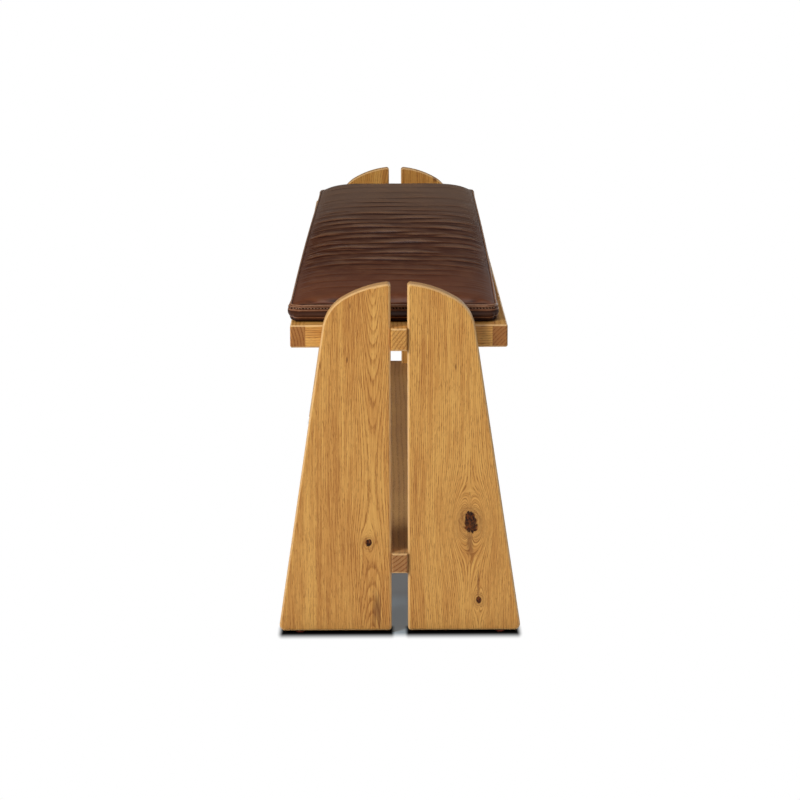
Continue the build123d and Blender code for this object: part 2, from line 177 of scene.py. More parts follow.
# How far the rings stray from even shells: across the board, through it, and in a fine ripple
RING_WANDER = 20 * mm
DEPTH_WANDER = 8 * mm
RING_RIPPLE = 1.4 * mm

# How dark the pores are, and how strong the painted highlight on the rounded edges and, on the
# slabs, on their narrow faces
PORE_SHARE = 0.56
EDGE_HIGHLIGHT_SHARE = 0.52
SLAB_SIDE_HIGHLIGHT = 0.6

# How far a knot pushes the grain aside and how softly, in its own radii, and how much longer
# than wide it is
KNOT_PUSH = 1.9
KNOT_SOFTNESS = 0.6
KNOT_LENGTH = 1.25


def around_knots(g, across, along, knots):
    """Bends the grain round each knot, and gives the bent place across the board and, for every
    knot, how far each point is from its middle in knot radii."""
    bent = across
    reaches = []
    for knot_across, knot_along, radius, reach in knots:
        aside = g.centred(across, knot_across)
        above = g.centred(along, knot_along)
        stretched = g.math("DIVIDE", above, reach)
        squared = g.total(g.times(aside, aside), g.times(stretched, stretched))
        softened = g.math("ADD", squared, KNOT_SOFTNESS * radius**2)
        push = g.math("DIVIDE", g.times(aside, (KNOT_PUSH * radius) ** 2), softened)
        bent = g.math("SUBTRACT", bent, push)
        near = g.distance(aside, g.math("DIVIDE", above, KNOT_LENGTH))
        reaches.append(g.math("DIVIDE", near, radius))
    return bent, reaches


def growth_rings(g, place, bent, depth, along, pith, rings, lean, arch, arch_at):
    """How far each place is through its year's ring, from 0 to 1, and the year's number."""
    wander = g.centred(g.noise(place, (9, 9, 2), 2))
    ripple = g.centred(g.noise(place, (85, 85, 7), 2))
    bow = g.centred(along, arch_at)
    off_pith = g.total(bent, -pith[0], g.times(along, lean), g.times(wander, RING_WANDER))
    behind = g.total(depth, -pith[1], g.times(bow, bow, -arch), g.times(wander, DEPTH_WANDER))
    radius = g.total(g.distance(off_pith, behind), g.times(ripple, RING_RIPPLE))
    ring = g.math("DIVIDE", radius, rings)
    return g.math("FRACT", ring), g.math("FLOOR", ring)


def draw_streaks(g, colour, across, along, fibre, streaks):
    """Adds short, ragged, dark streaks along the grain."""
    for streak_across, streak_along, width, height, share in streaks:
        aside = g.math("DIVIDE", g.centred(across, streak_across), width)
        above = g.math("DIVIDE", g.centred(along, streak_along), height)
        ragged = g.total(g.distance(aside, above), g.times(g.centred(fibre), 2.2))
        colour = g.mix(g.ease(ragged, 0.35, 1.15, share, 0), colour, KNOT_RING)
    return colour


def draw_knots(g, colour, dent, place, reaches):
    """Adds dark, cracked knots with a swirl round each. Gives the colour, the height of the
    surface, and how much of a knot each place is."""
    knotted = 0.0
    for reach in reaches:
        crack = g.noise(g.position(), (330, 330, 200), 3, 0.6)
        lobe = g.noise(place, (95, 95, 95), 3, 0.6)
        rough = g.total(reach, g.times(g.centred(lobe), 1.3))
        core = g.ease(rough, 0.8, 1.0, 1, 0)
        halo = g.ease(rough, 0.9, 3.2, 0.5, 0)
        swirl = g.ease(g.math("SINE", g.times(rough, 9.0)), 0.0, 1.0, 0.3, 1.0)
        colour = g.mix(g.times(halo, swirl), colour, KNOT_RING)
        colour = g.mix(core, colour, g.ramp(crack, [(0.46, KNOT_CORE), (0.6, KNOT_HEART)]))
        dent = g.total(dent, g.times(core, g.total(crack, -1.1), 2.0))
        knotted = g.math("MAXIMUM", knotted, core)
    return colour, dent, knotted


def oak(name, grain="Z", pith=(0.0, -0.08), rings=3.6 * mm, lean=0.0, arch=0.0, arch_at=0.28,
        seed=0.0, tone=0.0, contrast=1.0, end_tone=0.6, end_rings=1.0, shade_grey=0.0,
        side_highlight=0.0, knots=(), streaks=()):
    """Oiled oak. The growth rings are shells round a pith that lies outside the board, so that
    one node tree gives straight grain, arches and end grain, whatever face it meets. Knots are
    place across, place along, radius and how far the grain bends lengthways. Streaks are place
    across, place along, half width, half height and depth of colour."""
    g = Graph(name)
    xyz = g.split(g.position())
    first, second, third = GRAIN_AXES[grain]
    across, depth, along = xyz[first], xyz[second], xyz[third]
    bent, reaches = around_knots(g, across, along, knots)
    place = g.join(g.math("ADD", bent, seed), g.math("ADD", depth, 1.7 * seed), along)
    share, year = growth_rings(g, place, bent, depth, along, pith, rings, lean, arch, arch_at)
    year_tone = g.add("ShaderNodeTexWhiteNoise", {"W": year}, noise_dimensions="1D")
    early = g.math("MAXIMUM", g.ease(share, 0.0, 0.5, 1, 0), g.ease(share, 0.85, 1.0))
    band = g.noise(place, (38, 38, 1.4), 2)
    cloud = g.noise(place, (16, 16, 6), 2)
    fibre = g.noise(place, (640, 640, 12), 3, 0.6)
    thread = g.noise(place, (1500, 1500, 40), 2)
    vessel = g.noise(place, (1500, 1500, 120), 1)
    pores = g.ease(g.total(g.times(early, 0.16), g.centred(vessel)), 0.11, 0.25)

    light = g.total(
        0.54 + tone,
        g.times(g.centred(early, 0.35), -0.3 * contrast),
        g.times(g.centred(year_tone), 0.22 * contrast),
        g.times(g.centred(cloud), 0.7),
        g.times(g.centred(band), 1.3 * contrast),
        g.times(g.centred(fibre), 1.5 * contrast),
        g.centred(thread),
    )
    colour = g.ramp(light, [(0.0, DEEP_OAK), (0.5, OAK), (1.0, PALE_OAK)])
    colour = g.mix(g.times(pores, PORE_SHARE), colour, PORE_BROWN)
    # Painted shade: greys the colour as the board looks in the shade of the seat
    colour = g.mix(shade_grey, colour, SHADE_GREY_OAK)

    speckle = g.noise(g.position(), (560, 560, 560), 2)
    facing = g.split(g.position("Normal"))
    cut = g.ease(g.math("ABSOLUTE", facing[third]), 0.55, 0.9)
    flat_on = g.math("ABSOLUTE", facing[second])
    # Painted highlight: the rounded edges are lightened in full, the narrow faces by the side
    # share
    arris_highlight = g.times(g.ease(flat_on, 0.12, 0.4, side_highlight, 1.0), g.ease(flat_on, 0.88, 0.985, 1, 0))
    ragged_share = g.total(share, g.times(speckle, 0.6), -0.3)
    ring_mark = g.times(cut, g.ease(ragged_share, 0.05, 0.4, end_rings, 0))
    speck = g.ease(speckle, 0.52, 0.66)
    colour = g.mix(g.times(cut, end_tone), colour, END_GRAIN)
    colour = g.mix(ring_mark, colour, PORE_BROWN)
    colour = g.mix(g.times(cut, speck, 0.6), colour, DEEP_OAK)
    colour = g.mix(g.times(arris_highlight, EDGE_HIGHLIGHT_SHARE), colour, EDGE_HIGHLIGHT_OAK)

    colour = draw_streaks(g, colour, across, along, fibre, streaks)
    colour, dent, knotted = draw_knots(g, colour, g.times(pores, -0.6), place, reaches)
    height = g.total(dent, g.times(fibre, 0.35))
    roughness = g.total(0.44, g.times(pores, 0.2), g.times(cut, 0.12), g.times(knotted, 0.4))
    return g.surface(Base_Color=colour, Roughness=roughness, Specular_IOR_Level=0.4,
                     Normal=g.bump(height, 0.18 * mm, 0.7))


def finish_node(name, material):
    """Gives a node of the frame its finish, in every slot that it has."""
    mesh = nodes[name].data
    if not mesh.materials:
        mesh.materials.append(material)
    for index in range(len(mesh.materials)):
        mesh.materials[index] = material


LEFT_SLAB_KNOT = (-45.8 * mm, 137.6 * mm, 4.6 * mm, 2.4)
BIG_KNOT_FOOT = (103.6 * mm, 164.5 * mm, 9.8 * mm, 2.0)
BIG_KNOT_TOP = (102.2 * mm, 176.5 * mm, 7.0 * mm, 2.2)
SMALL_KNOT = (116.2 * mm, 50.4 * mm, 4.2 * mm, 2.8)


def wooden_pieces():
    """Oak for the visible frame, and a paler sawn oak for what lies under the cushion."""
    finish_node("end_slab_right_front", oak(
        "oak_slab_right_front", side_highlight=SLAB_SIDE_HIGHLIGHT, pith=(-0.04, 0.722),
        rings=2.0 * mm, arch=0.24, arch_at=0.24, seed=0.31, tone=-0.02, knots=[LEFT_SLAB_KNOT],
        streaks=[(-33.5 * mm, 40 * mm, 6.5 * mm, 36 * mm, 0.85),
                 (-74.9 * mm, 409.8 * mm, 1.3 * mm, 5 * mm, 0.9),
                 (-113.8 * mm, 401.2 * mm, 1.2 * mm, 9 * mm, 0.9),
                 (-70.0 * mm, 488.5 * mm, 1.4 * mm, 5 * mm, 0.7)],
    ))
    finish_node("end_slab_right_back", oak(
        "oak_slab_right_back", side_highlight=SLAB_SIDE_HIGHLIGHT, pith=(-0.05, 0.66),
        rings=2.2 * mm, lean=0.03, seed=0.77, tone=0.12,
        knots=[BIG_KNOT_FOOT, BIG_KNOT_TOP, SMALL_KNOT],
        streaks=[(81.9 * mm, 398.9 * mm, 1.5 * mm, 6 * mm, 0.8),
                 (103.0 * mm, 138 * mm, 5 * mm, 18 * mm, 0.55),
                 (115.0 * mm, 78 * mm, 1.6 * mm, 26 * mm, 0.6)],
    ))
    finish_node("end_slab_left_front", oak(
        "oak_slab_left_front", side_highlight=SLAB_SIDE_HIGHLIGHT, pith=(0.05, -0.67),
        rings=3.3 * mm, arch=0.2, arch_at=0.1, seed=1.9))
    finish_node("end_slab_left_back", oak(
        "oak_slab_left_back", side_highlight=SLAB_SIDE_HIGHLIGHT, pith=(0.2, -0.69),
        rings=3.1 * mm, lean=-0.03, seed=2.6,
        streaks=[(80 * mm, 500 * mm, 5 * mm, 9 * mm, 0.8)]))
    finish_node("seat_side_rail_front", oak(
        "oak_side_rail_front", grain="X", pith=(-0.3, 0.41), rings=4.8 * mm, seed=3.1,
        end_tone=0.7))
    finish_node("seat_side_rail_back", oak(
        "oak_side_rail_back", grain="X", pith=(0.25, 0.33), rings=4.4 * mm, seed=3.9,
        end_tone=0.9))
    for number, end in enumerate(("left", "right")):
        for side in ("front", "back"):
            seed = 4.3 + number + (0.4 if side == "back" else 0.0)
            finish_node(f"seat_end_rail_{end}_{side}", oak(
                f"oak_end_rail_{end}_{side}", grain="Y", pith=(0.6, 0.3), rings=2.8 * mm,
                seed=seed, tone=0.24))
    finish_node("seat_centre_rail", oak(
        "oak_centre_rail", grain="X", pith=(0.16, 0.33), rings=5.0 * mm, seed=6.7, tone=0.2,
        end_tone=0.15, end_rings=0.28))
    finish_node("lower_stretcher", oak(
        "oak_stretcher", grain="X", pith=(-0.12, 0.26), rings=5.5 * mm, seed=7.3, tone=-0.1,
        contrast=0.8, shade_grey=0.4))
    slat = oak("oak_slat", grain="Y", pith=(0.0, 0.38), rings=4.0 * mm, seed=8.4, tone=0.14,
               contrast=0.8)
    ledger = oak("oak_ledger", grain="X", pith=(0.0, 0.3), rings=3.0 * mm, seed=9.1, tone=0.1)
    for name in nodes:
        if name.startswith("seat_slat_"):
            finish_node(name, slat)
        if name.startswith("slat_ledger_") or name.endswith("_dowels"):
            finish_node(name, ledger)


# Metal and plastic


def metal(name, colour, roughness, scratch):
    """Plated or turned metal with fine turning marks."""
    g = Graph(name)
    place = g.position()
    mark = g.noise(place, (900, 900, 5200), 2)
    cloud = g.noise(place, (160, 160, 160), 2)
    gloss = g.total(roughness, g.times(g.centred(cloud), 0.25))
    shade = g.mix(g.times(cloud, 0.3), colour, srgb(70, 66, 60))
    return g.surface(Base_Color=shade, Metallic=1.0, Roughness=gloss,
                     Normal=g.bump(mark, scratch * mm, 0.5))


def plastic(name, colour):
    """Moulded plastic with a slight grain."""
    g = Graph(name)
    grain = g.noise(g.position(), (2600, 2600, 2600), 2)
    cloud = g.noise(g.position(), (300, 300, 300), 1)
    shade = g.mix(g.times(cloud, 0.25), colour, srgb(70, 24, 14))
    return g.surface(Base_Color=shade, Roughness=0.42, Normal=g.bump(grain, 0.03 * mm, 0.6))


def small_parts():
    """Finishes for the fasteners and glides."""
    zinc = metal("zinc_steel", srgb(176, 170, 150), 0.34, 0.02)
    black_steel = metal("black_steel", srgb(72, 70, 68), 0.4, 0.02)
    brass = metal("brass", srgb(186, 150, 82), 0.3, 0.02)
    glide = plastic("glide_plastic", srgb(150, 62, 36))
    for name in ("slat_screws", "ledger_screws", "glide_nails"):
        finish_node(name, zinc)
    for name in ("end_bolts", "bolt_washers"):
        finish_node(name, black_steel)
    finish_node("threaded_inserts", brass)
    for name in nodes:
        if name.startswith("floor_glide_"):
            finish_node(name, glide)


# Leather cushion

CUSHION_LENGTH = 1386 * mm
CUSHION_WIDTH = 308 * mm
CORNER_RADIUS = 20 * mm
SIDE_SWELL = 2.5 * mm
END_DRAW_IN = 1.5 * mm
CUSHION_OFFSET = -2 * mm
CUSHION_YAW = -0.47
REST_Z = 456.3 * mm
RIM_Z = 479.4 * mm
CROWN = 12.6 * mm
SIDE_STEEPNESS = 4.8
FAR_STEEPNESS = 6.5
END_SHOULDER = 44 * mm
END_STEEPNESS = 3.0
END_ROLL = 1.6 * mm
FAR_LIFT = 6.0 * mm
FAR_FROM = 450 * mm
ROLL_RISE = (0.0, 1.9 * mm)
ROLL_FALL = (34 * mm, 3 * mm)
CALM_REACH = 70 * mm
END_DRAW_REACH = 60 * mm
COLUMN_STEP = 1.8 * mm
ROWS = 64

# The edge from the rim of the top panel down to the foot: outward of the widest place, height, and
# a share that above zero lightens the leather, as wear with a painted highlight on the welts, and
# below zero darkens it with painted shade in the seams and the lower boxing
EDGE_PROFILE = [
    (-6.4, 479.4, -0.9), (-5.8, 478.9, -1.0), (-5.2, 479.3, 0.3), (-4.5, 479.9, 0.9),
    (-3.6, 479.7, 1.0), (-3.0, 479.0, 0.8), (-2.8, 478.4, -0.4), (-2.9, 478.1, -0.9),
    (-2.6, 477.7, 0.7), (-2.2, 476.9, 0.8), (-2.4, 476.3, -0.4), (-2.7, 475.7, -0.9),
    (-2.7, 474.1, -0.9), (-2.2, 473.4, -0.3), (-1.7, 472.7, 0.8), (-1.4, 471.9, 0.5),
    (-1.2, 471.0, -0.6), (-0.8, 469.8, -0.85), (-0.1, 467.6, -0.7), (0.3, 465.6, -0.75),
    (0.1, 464.2, -0.8), (-0.3, 463.5, -0.8), (-0.1, 463.0, 0.6), (-0.2, 462.3, 0.6),
    (-0.8, 461.7, -0.75), (-0.6, 460.8, -0.8), (-0.5, 459.6, -0.9), (-0.9, 458.2, -1.0),
    (-1.8, 457.0, -1.0), (-4.0, 456.3, -1.0),
]
RIM_INSET = -EDGE_PROFILE[0][0] * mm
SEAM_RING = 11

# How the edge departs from that profile, in millimetres: the boxing swells at the near end, and
# the corners are bunched up at the seam and drawn in towards the foot
END_SWELL = 7.5
END_FACING = (0.7, 0.98)
SWELL_HEIGHTS = (470.5, 466.0)
CORNER_BUNCH = 1.6
BUNCH_TOP = (481.0, 476.5)
BUNCH_FOOT = (457.0, 474.0)
CORNER_TAPER = 2.2
TAPER_HEIGHTS = (474.0, 459.0)
CORNER_MIDDLE = (675 * mm, 135 * mm)
CORNER_REACH = 60 * mm
BUNCH_RATE = 26
WAVE_COUNT = 9
END_CALM = (30 * mm, 15 * mm)

# How the painted shade in the hollows and the painted highlight on the crests follow the folds,
# over which lengths and depths, and the painted shade along the seams
SHARP_REACH = 9 * mm
SHARP_DEPTH = 0.7 * mm
BROAD_REACH = 60 * mm
BROAD_DEPTH = 1.7 * mm
END_SEAM_SHADE = (3.5 * mm, 0.4 * mm)
SIDE_SEAM_SHADE = (2.5 * mm, 0.3 * mm)

# Folds across the top panel: place along the cushion, slant over half its width, bow, height,
# and the side (-1 or 1) where it is stronger, or 0
FOLDS = [
    (-655, 5, -6, 0.4, 1), (-609, -6, -8, 0.6, 0), (-548, 9, 5, 0.5, -1), (-470, -9, -4, 0.8, 0),
    (-405, 7, 6, 1.0, 0), (-352, -14, -5, 1.1, 0), (-281, -10, 8, 1.2, -1),
    (-234, 16, 2, 1.7, 0), (-169, -4, -8, 2.2, 0), (-116, -12, 4, 1.9, 0),
    (-49, 14, 3, 2.4, 0), (14, -6, 3, 2.4, -1), (40, 12, 2, 1.4, 1), (72, -15, -7, 1.8, 0),
    (136, -9, -4, 2.4, 0), (194, -12, 6, 2.3, 0), (226, 16, -4, 1.2, -1), (262, 12, 4, 2.4, 0),
    (296, -14, 3, 1.3, 1), (329, 3, 2, 2.1, 0), (378, 14, 6, 1.1, 0), (424, 10, -4, 0.9, 1),
    (474, 8, 6, 0.6, 0), (533, 12, 2, 0.45, 0), (588, -4, 3, 0.35, -1), (642, 5, 4, 0.3, 1),
]
FOLD_GAIN = 1.65
CREASE_COUNT = 72
PUCKER_RISE = 2.3 * mm

# How long folds and gathers are drawn out behind their crest, and how steeply they drop before it
FOLD_FALL = (52 * mm, 8 * mm)
CREASE_FALL = (14 * mm, 6 * mm)
PUCKER_FALL = (13 * mm, 6 * mm)


def half_width(x):
    """Half the width of the top panel's rim at a place along the cushion."""
    half_length = CUSHION_LENGTH / 2 - RIM_INSET
    radius = CORNER_RADIUS - RIM_INSET
    straight = half_length - radius
    full = CUSHION_WIDTH / 2 - RIM_INSET
    if abs(x) <= straight:
        return full + SIDE_SWELL * (1 - (x / straight) ** 2)
    return full - radius + sqrt(max(0.0, radius**2 - (abs(x) - straight) ** 2))


def column_places():
    """Places along the cushion, closer together round the corners."""
    half_length = CUSHION_LENGTH / 2 - RIM_INSET
    radius = CORNER_RADIUS - RIM_INSET
    straight = half_length - radius
    count = round(2 * straight / COLUMN_STEP)
    places = [-straight + 2 * straight * index / count for index in range(count + 1)]
    corner = [straight + radius * sin(radians(step * 7.5)) for step in range(1, 13)]
    return [-x for x in reversed(corner)] + places + corner


def smooth_step(value, low, high):
    """A smooth rise from 0 to 1 as a value goes from low to high."""
    share = np.clip((value - low) / (high - low), 0.0, 1.0)
    return share * share * (3 - 2 * share)


def crest(ahead, back, front):
    """A fold of unit height, steep towards the near end and drawn out behind."""
    behind = np.clip(1 + ahead / back, 0.0, 1.0) ** 0.85
    before = 1 - smooth_step(ahead, 0.0, front)
    return np.where(ahead < 0, behind, before)


def folds(x, v):
    """Height that the folds add: x along the cushion, v from -1 to 1 across it."""
    chooser = random.Random(23)
    height = np.zeros_like(x)
    for place, slant, bow, rise, side in FOLDS:
        phase, pace = chooser.uniform(0, 2 * pi), chooser.uniform(2.2, 4.0)
        wander = 4.0 * np.sin(pace * v + phase) + 1.6 * np.sin(3.1 * pace * v - phase)
        line = (place + slant * v + bow * (v * v - 0.3) + wander) * mm
        swell = 0.76 + 0.42 * np.sin(1.9 * pace * v + 2 * phase) + 0.55 * side * v
        size = FOLD_GAIN * rise * mm * np.clip(swell, 0.0, 1.25)
        height = np.maximum(height, size * crest(x - line, *FOLD_FALL))
    return height


def short_creases(x, v):
    """Lesser creases between the folds, each over part of the width."""
    chooser = random.Random(5)
    height = np.zeros_like(x)
    for _ in range(CREASE_COUNT):
        place = chooser.gauss(20, 270) * mm
        middle, reach = chooser.uniform(-0.85, 0.85), chooser.uniform(0.16, 0.5)
        slant = chooser.uniform(-22, 22) * mm
        rise = chooser.uniform(0.3, 1.1) * mm
        line = place + slant * (v - middle)
        fade = np.clip(1 - ((v - middle) / reach) ** 2, 0.0, 1.0) ** 1.3
        calm = exp(-((place - 0.02) / 0.36) ** 2)
        height += rise * calm * fade * crest(x - line, *CREASE_FALL)
    return height


def side_puckers(x, v):
    """Short gathers that run in from the long seams."""
    chooser = random.Random(11)
    height = np.zeros_like(x)
    for side in (-1, 1):
        place = -0.63
        inward = 1 - v * side
        while place < 0.64:
            strength = 0.3 + 0.7 * exp(-(((place - 0.03) / 0.33) ** 2))
            rise = chooser.uniform(0.35, 1.0) * PUCKER_RISE * strength
            reach = chooser.uniform(0.14, 0.42)
            slant = chooser.uniform(-0.03, 0.05)
            line = place - slant * inward
            fade = smooth_step(inward, 0.0, 0.05) * (1 - smooth_step(inward, 0.06, reach))
            height += rise * fade * crest(x - line, *PUCKER_FALL)
            place += chooser.uniform(13, 30) * mm
    return height


def end_puckers(x, v):
    """Short gathers that run in from the seams at the two ends."""
    chooser = random.Random(17)
    height = np.zeros_like(x)
    half_length = CUSHION_LENGTH / 2 - RIM_INSET
    for side in (-1, 1):
        inset = half_length - x * side
        middle = -0.93
        while middle < 0.95:
            rise = chooser.uniform(-1.3, 1.1) * mm
            width = chooser.uniform(0.035, 0.08)
            reach = chooser.uniform(16, 44) * mm
            lean = chooser.uniform(-1.4, 1.4)
            aside = (v - middle - lean * inset) / width
            fade = smooth_step(inset, 0.5 * mm, 5 * mm) * smooth_step(inset, reach, 5 * mm)
            height += rise * fade * np.exp(-aside * aside)
            middle += chooser.uniform(0.06, 0.17)
    return height


def top_heights(x, v):
    """The top panel's height, and the part of it that the folds make."""
    half_length = CUSHION_LENGTH / 2 - RIM_INSET
    near_inset = half_length - x
    end_inset = half_length - np.abs(x)
    far = smooth_step(-x, FAR_FROM, half_length)
    side = 1 - np.abs(v) ** (SIDE_STEEPNESS + (FAR_STEEPNESS - SIDE_STEEPNESS) * far)
    end = 1 - (1 - np.clip(end_inset / END_SHOULDER, 0.0, 1.0)) ** END_STEEPNESS
    rise = side * end
    calm = smooth_step(end_inset, 0.0, CALM_REACH) * (1 - np.abs(v) ** 14)
    folded = (folds(x, v) * (1 - 0.35 * np.abs(v) ** 5) + short_creases(x, v)) * (0.3 + 0.7 * rise)
    folded = (folded + side_puckers(x, v)) * calm + end_puckers(x, v)
    lift = FAR_LIFT * far * (0.35 + 0.65 * rise)
    roll = smooth_step(near_inset, *ROLL_RISE) * smooth_step(near_inset, *ROLL_FALL)
    roll_height = END_ROLL * roll * smooth_step(1 - np.abs(v), 0.0, 0.05)
    return RIM_Z + CROWN * rise + folded + lift + roll_height, folded


def running_mean(values, reach):
    """The mean of each row of values over a stretch along the cushion."""
    span = 2 * round(reach / COLUMN_STEP) + 1
    kernel = np.hanning(span + 2)[1:-1]
    kernel /= kernel.sum()
    padded = np.pad(values, ((span // 2, span // 2), (0, 0)), mode="edge")
    return np.apply_along_axis(np.convolve, 0, padded, kernel, mode="valid")


def ring_of(grid):
    """The vertices round the edge of a grid, in order."""
    rim = [line[-1] for line in grid] + list(reversed(grid[-1][:-1]))
    return rim + [line[0] for line in reversed(grid[:-1])] + grid[0][1:-1]


def close_bottom(mesh, foot, columns):
    """Flat strips across the bottom, from one long side of the foot to the other."""
    right = foot[:columns]
    left = list(reversed(foot[columns + ROWS - 2:2 * columns + ROWS - 2]))
    for index in range(1, columns - 2):
        mesh.faces.new((right[index], right[index + 1], left[index + 1], left[index]))
    near_end = foot[columns - 2:columns + ROWS]
    mesh.faces.new(near_end)
    far_end = foot[2 * columns + ROWS - 4:] + foot[:2]
    mesh.faces.new(far_end)


def top_grid():
    """Places of the top panel's vertices, how far each stands out of the leather round it, and
    how much of the seams' shade falls on it."""
    half_length = CUSHION_LENGTH / 2 - RIM_INSET
    columns = np.array(column_places())
    even = np.linspace(-1, 1, ROWS)
    shares = 0.62 * even + 0.38 * np.sin(pi / 2 * even)
    x, v = np.meshgrid(columns, shares, indexing="ij")
    z, folded = top_heights(x, v)
    widths = np.array([half_width(place) for place in columns])
    y = v * widths[:, None]
    near_end = smooth_step(np.abs(x), half_length - END_DRAW_REACH, half_length)
    x = x - END_DRAW_IN * (1 - v * v) * near_end * np.sign(x)
    sharp = (folded - running_mean(folded, SHARP_REACH)) / SHARP_DEPTH
    broad = (folded - running_mean(folded, BROAD_REACH)) / BROAD_DEPTH
    relief = np.clip(np.minimum(sharp, 0.3 * sharp) + broad, -1.0, 1.0)
    from_end = smooth_step(half_length - np.abs(x), *END_SEAM_SHADE)
    from_side = smooth_step((1 - np.abs(v)) * CUSHION_WIDTH / 2, *SIDE_SEAM_SHADE)
    shade = np.maximum(0.9 * from_end, 0.25 * from_side)
    return np.stack((x, y, z), axis=-1), relief, shade


def outward_normals(rim):
    """The level direction out of the cushion at each vertex of the rim."""
    normals = []
    for index in range(len(rim)):
        along = rim[(index + 1) % len(rim)].co - rim[index - 1].co
        normals.append(Vector((along.y, -along.x, 0)).normalized())
    if normals[0].y < 0:
        normals = [-normal for normal in normals]
    return normals


def corner_share(place):
    """How near a place on the rim is to a corner of the cushion, from 0 to 1."""
    away = hypot(abs(place.x) - CORNER_MIDDLE[0], abs(place.y) - CORNER_MIDDLE[1])
    return smooth_step(away, CORNER_REACH, 0.0)


def ripple(x, height, waves):
    """The gentle unevenness of the boxing."""
    return sum(size * sin(2 * pi * x / (0.03 + 0.02 * order) + phase + height)
               for order, (size, phase) in enumerate(waves))


def edge_rings(mesh, rim, normals, wear_and_shade_layer):
    """Rings of vertices down the edge, from the rim of the top panel to the foot."""
    half_length = CUSHION_LENGTH / 2 - RIM_INSET
    rim_out = EDGE_PROFILE[0][0]
    foot_out = EDGE_PROFILE[-1][0]
    chooser = random.Random(3)
    waves = [(chooser.uniform(0.05, 0.2), chooser.uniform(0, 2 * pi)) for _ in range(WAVE_COUNT)]
    corners = [corner_share(vertex.co) for vertex in rim]
    rings = [rim]
    for out, height, wear_and_shade in EDGE_PROFILE[1:-1]:
        low = smooth_step(height, *SWELL_HEIGHTS)
        bunch = CORNER_BUNCH * smooth_step(height, *BUNCH_TOP) * smooth_step(height, *BUNCH_FOOT)
        taper = CORNER_TAPER * smooth_step(height, *TAPER_HEIGHTS)
        ring = []
        for vertex, normal, corner in zip(rim, normals, corners):
            x, y, z = vertex.co
            calm = smooth_step(half_length - abs(x), END_CALM[1], END_CALM[0])
            end_swell = END_SWELL * smooth_step(normal.x, *END_FACING)
            swell = low * (0.5 * ripple(x, height, waves) * calm + end_swell) - taper * corner
            turn = normal.x * (0.5 - 0.5 * normal.y) if x > 0 > y else 0.0
            offset = (out - rim_out + swell + bunch * corner * (1.0 + sin(BUNCH_RATE * turn))) * mm
            lift = (z - RIM_Z) * (height * mm - REST_Z) / (RIM_Z - REST_Z)
            place = vertex.co + normal * offset
            new = mesh.verts.new((place.x, place.y, height * mm + lift))
            # Above zero worn leather with a painted highlight, below zero painted shade
            new[wear_and_shade_layer] = wear_and_shade
            ring.append(new)
        rings.append(ring)
    foot = []
    for vertex, normal, corner in zip(rim, normals, corners):
        place = vertex.co + normal * (foot_out - rim_out - CORNER_TAPER * corner) * mm
        foot.append(mesh.verts.new((place.x, place.y, REST_Z)))
    rings.append(foot)
    return rings


def cushion_mesh():
    """One closed skin: a crowned and folded top, an edge with two seams, and a flat bottom. The
    line of the stitched band comes with it."""
    mesh = bmesh.new()
    fold_layer = mesh.verts.layers.float.new("fold")
    wear_and_shade_layer = mesh.verts.layers.float.new("wear_and_shade")
    top = []
    for places, reliefs, shades in zip(*top_grid()):
        line = []
        for place, relief, shade in zip(places, reliefs, shades):
            vertex = mesh.verts.new(tuple(place))
            vertex[fold_layer] = relief
            # Painted shade near the seams
            vertex[wear_and_shade_layer] = -shade
            line.append(vertex)
        top.append(line)
    rim = ring_of(top)
    normals = outward_normals(rim)
    rings = edge_rings(mesh, rim, normals, wear_and_shade_layer)
    for first, second in zip(top, top[1:]):
        for row in range(ROWS - 1):
            mesh.faces.new((first[row], second[row], second[row + 1], first[row + 1]))
    close_bottom(mesh, rings[-1], len(top))
    for upper, lower in zip(rings, rings[1:]):
        for index in range(len(rim)):
            after = (index + 1) % len(rim)
            mesh.faces.new((upper[index], upper[after], lower[after], lower[index]))
    bmesh.ops.recalc_face_normals(mesh, faces=mesh.faces)
    seam_path = [((upper.co + lower.co) / 2, normal)
                 for upper, lower, normal in zip(rings[SEAM_RING], rings[SEAM_RING + 1], normals)]
    return mesh, seam_path


def make_object(name, mesh, material, smooth=True):
    """Turns a mesh in progress into a linked object with one material."""
    data = bpy.data.meshes.new(name)
    mesh.to_mesh(data)
    mesh.free()
    data.materials.append(material)
    if smooth:
        data.shade_smooth()
    item = bpy.data.objects.new(name, data)
    bpy.context.scene.collection.objects.link(item)
    return item


def place_on_seat(item):
    """Turns and moves a piece of the cushion from the cushion's own frame to where it lies."""
    turn = Matrix.Rotation(radians(CUSHION_YAW), 4, "Z")
    item.data.transform(Matrix.Translation((0, CUSHION_OFFSET, 0)) @ turn)
    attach(item, "cushion")


DARK_LEATHER = srgb(66, 29, 12)
BROWN_LEATHER = srgb(84, 41, 18)
WORN_LEATHER = srgb(104, 60, 35)
# Painted shade in the hollows of the folds, and painted highlight on their crests
HOLLOW_SHADE_LEATHER = srgb(44, 15, 5)
RIDGE_HIGHLIGHT_LEATHER = srgb(114, 84, 62)
# Painted sheen: grey towards the far end, in random patches, and lighter and redder towards the
# near end
FAR_SHEEN_LEATHER = srgb(126, 102, 85)
SHEEN_PATCH_LEATHER = srgb(120, 82, 55)
NEAR_SHEEN_LEATHER = srgb(114, 63, 37)
# Near-black painted shade, and worn welts with a painted highlight
PAINTED_SHADE_LEATHER = srgb(14, 5, 3)
WORN_HIGHLIGHT_LEATHER = srgb(162, 122, 92)

